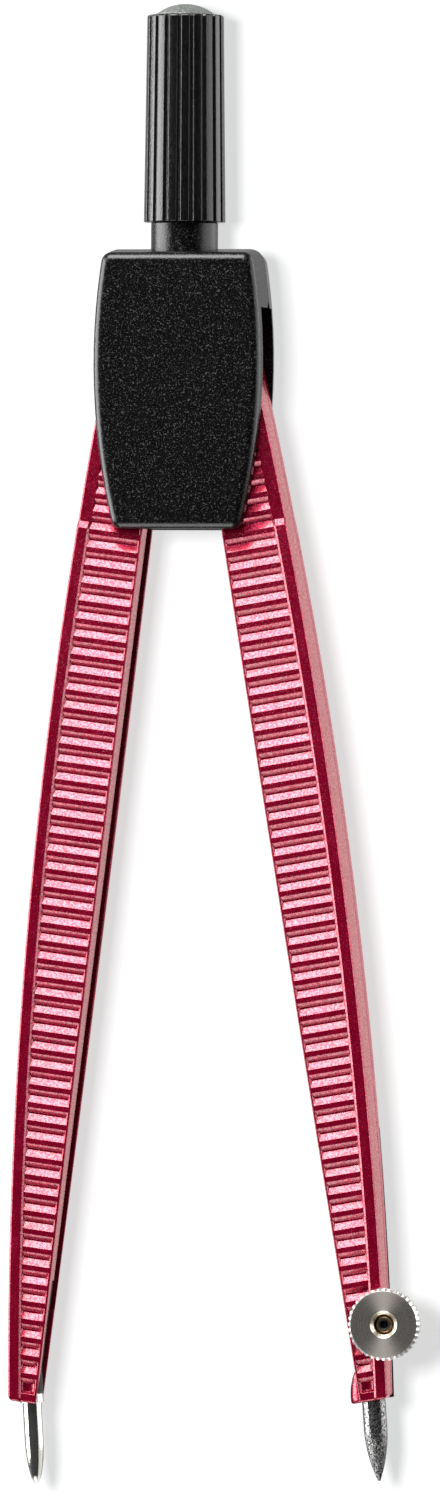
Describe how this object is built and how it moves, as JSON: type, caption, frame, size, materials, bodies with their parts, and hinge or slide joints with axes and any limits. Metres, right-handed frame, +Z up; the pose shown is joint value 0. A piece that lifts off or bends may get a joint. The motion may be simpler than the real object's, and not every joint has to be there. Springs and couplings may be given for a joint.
{
  "type": "drawing compass",
  "caption": "School drawing compass with two ribbed, bowed legs geared together in a moulded head, a fluted grip, a steel needle and a clamped lead.",
  "frame": {"origin": "middle of the grip, on its axis", "axes": "+Z up along the grip, away from the legs; -Y the front, where the clamp nut is; +X towards the lead leg"},
  "size_m": [0.0355, 0.008, 0.1252],
  "materials": {
    "head_plastic": "fine moulded grain",
    "grip_plastic": "glossy",
    "cap_plastic": "frosted",
    "pin_steel": "ground",
    "washer_plastic": "plain",
    "spring_steel": "bright",
    "leg_paint": "metallic crimson paint",
    "needle_steel": "polished",
    "holder_plastic": "plain",
    "plate_steel": "blackened",
    "screw_brass": "nickelled",
    "nut_steel": "turned face, bright knurl",
    "graphite": "dark grey"
  },
  "bodies": {
    "head": {"front_shell": "head_plastic", "rear_shell": "head_plastic", "grip_sleeve": "grip_plastic", "grip_cap": "cap_plastic", "left_pivot_pin": "pin_steel", "right_pivot_pin": "pin_steel", "left_friction_washer": "washer_plastic", "right_friction_washer": "washer_plastic", "left_spring_washer": "spring_steel", "right_spring_washer": "spring_steel"},
    "needle_leg": {"left_leg": "leg_paint", "needle": "needle_steel", "needle_holder": "holder_plastic"},
    "lead_leg": {"right_leg": "leg_paint", "clamp_plate": "plate_steel", "clamp_screw": "screw_brass"},
    "nut": {"knurled_nut": "nut_steel"},
    "lead": {"lead": "graphite"}
  },
  "joints": [
    {"name": "lead_leg_swing", "type": "hinge", "parent": "head", "child": "lead_leg", "pos_m": [0.00275, 0, -0.0195], "axis": [0, -1, 0], "range_deg": [-8.2, 50]},
    {"name": "needle_leg_swing", "type": "hinge", "parent": "head", "child": "needle_leg", "pos_m": [-0.00275, 0, -0.0195], "axis": [0, 1, 0], "range_deg": [-8.2, 50]},
    {"name": "nut_turn", "type": "hinge", "parent": "lead_leg", "child": "nut", "pos_m": [0.01807, 0, -0.10149], "axis": [0, -1, 0], "range_deg": [0, 360]},
    {"name": "lead_slide", "type": "slide", "parent": "lead_leg", "child": "lead", "axis": [0.0746, 0, -0.9972], "range_m": [-0.002, 0.004]}
  ],
  "couplings": [
    {"joint": "needle_leg_swing", "follows": "lead_leg_swing", "ratio": 1}
  ]
}
